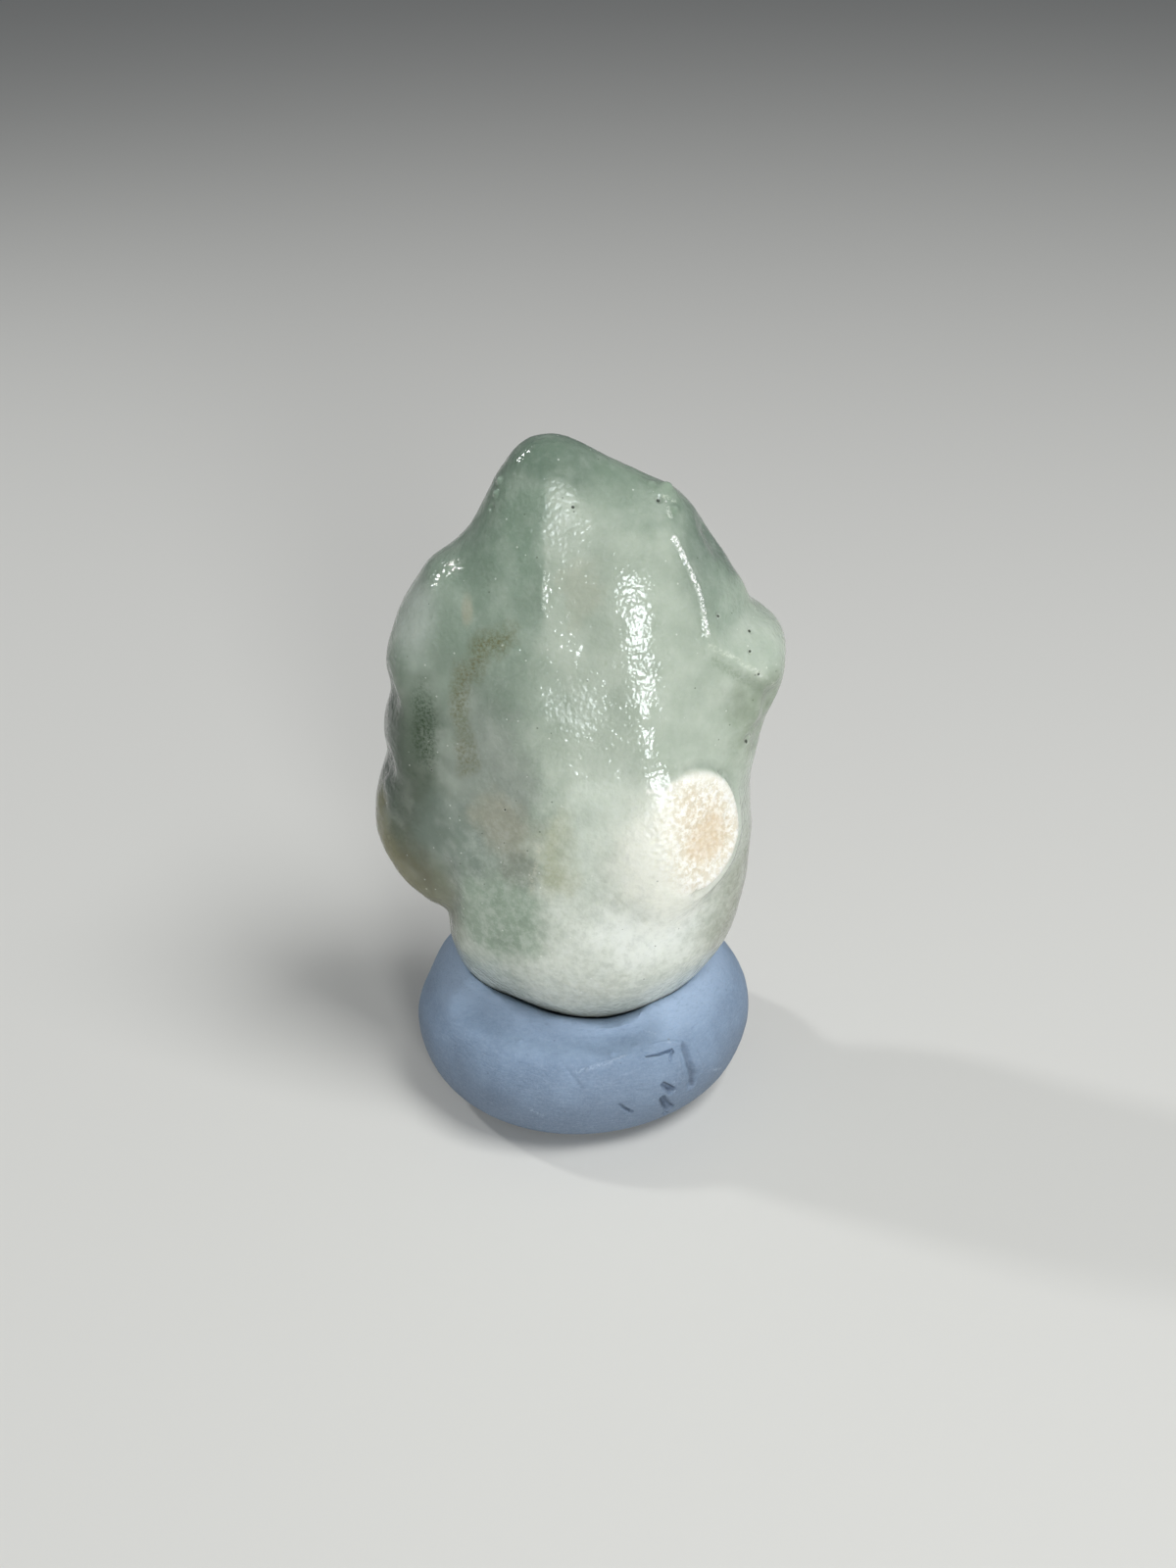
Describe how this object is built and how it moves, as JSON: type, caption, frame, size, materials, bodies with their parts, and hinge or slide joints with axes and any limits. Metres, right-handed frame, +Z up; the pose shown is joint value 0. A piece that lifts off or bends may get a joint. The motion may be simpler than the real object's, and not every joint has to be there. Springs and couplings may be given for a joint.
{
  "type": "gobi agate on a putty stand",
  "caption": "Waxy green desert agate with a white crystal eye, set on end in a pressed ball of blue-grey putty.",
  "frame": {"origin": "on the table, under the middle of the whole object's box", "axes": "+Z up along the stone's long axis, -Y towards the viewer, the side with the white eye, +X to the viewer's right"},
  "size_m": [0.0282, 0.0243, 0.0477],
  "materials": {
    "agate": "waxy wind-polished skin with fine pits, green above, milky white below, granular white crystals in the eye",
    "putty": "matt blue-grey putty with finger marks and a few small cuts"
  },
  "bodies": {
    "root": {"agate": "agate", "putty_stand": "putty"}
  },
  "joints": []
}
